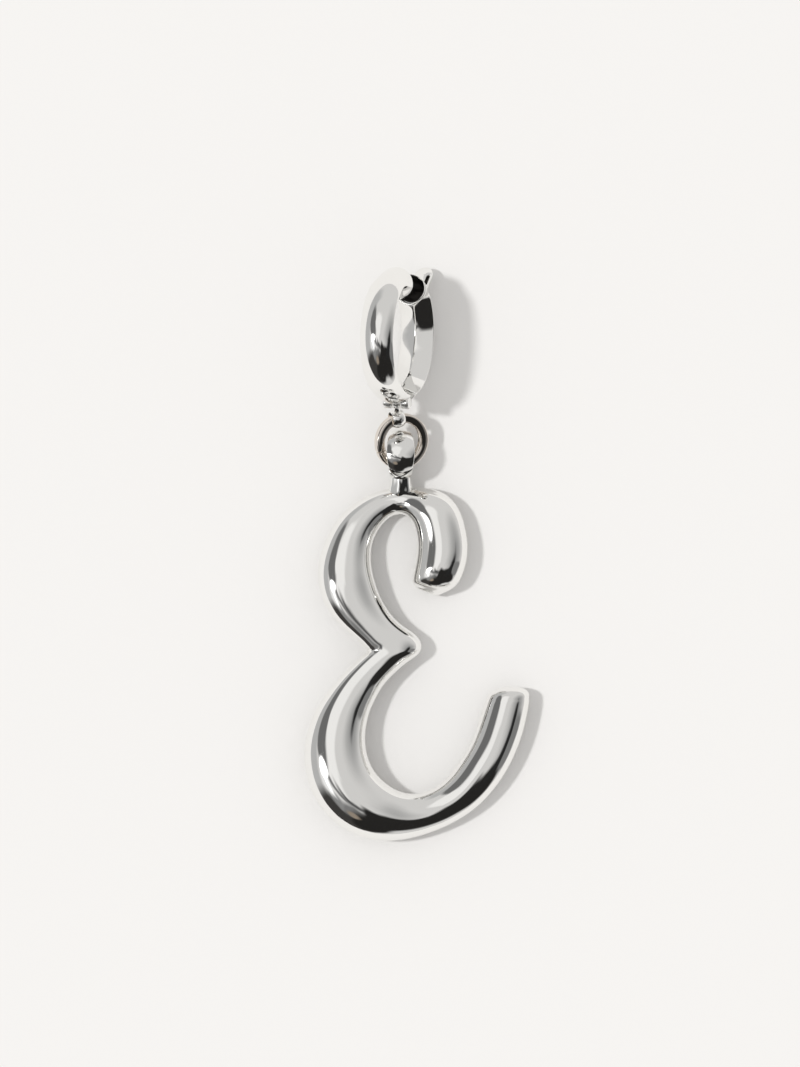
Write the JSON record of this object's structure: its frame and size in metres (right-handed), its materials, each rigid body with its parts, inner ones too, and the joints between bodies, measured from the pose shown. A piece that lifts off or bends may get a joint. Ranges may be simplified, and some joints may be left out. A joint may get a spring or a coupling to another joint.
{
  "type": "initial pendant",
  "caption": "Puffed script initial lying on its flat back, joined by a loop and a jump ring to a hinged clip hoop with a thumb tab.",
  "frame": {"origin": "middle of the outline seen from above, on the surface that the letter lies on", "axes": "+Y runs up the letter towards the clip, +X to the reader's right, +Z out of the surface towards the reader"},
  "size_m": [0.0188, 0.0477, 0.0111],
  "materials": {
    "letter": "mirror-polished silver",
    "jump_ring": "polished silver wire",
    "clip": "mirror-polished silver",
    "hinge_pin": "polished silver pin, slightly duller"
  },
  "bodies": {
    "pendant": {"letter": "letter", "jump_ring": "jump_ring", "clip_body": "clip", "hinge_pin": "hinge_pin"},
    "gate": {"clip_gate": "clip"}
  },
  "joints": [
    {"name": "gate_hinge", "type": "hinge", "parent": "pendant", "child": "gate", "pos_m": [-0.00163, 0.01256, 0.00492], "axis": [0.9388, -0.041, 0.342], "range_deg": [0, 50]}
  ]
}
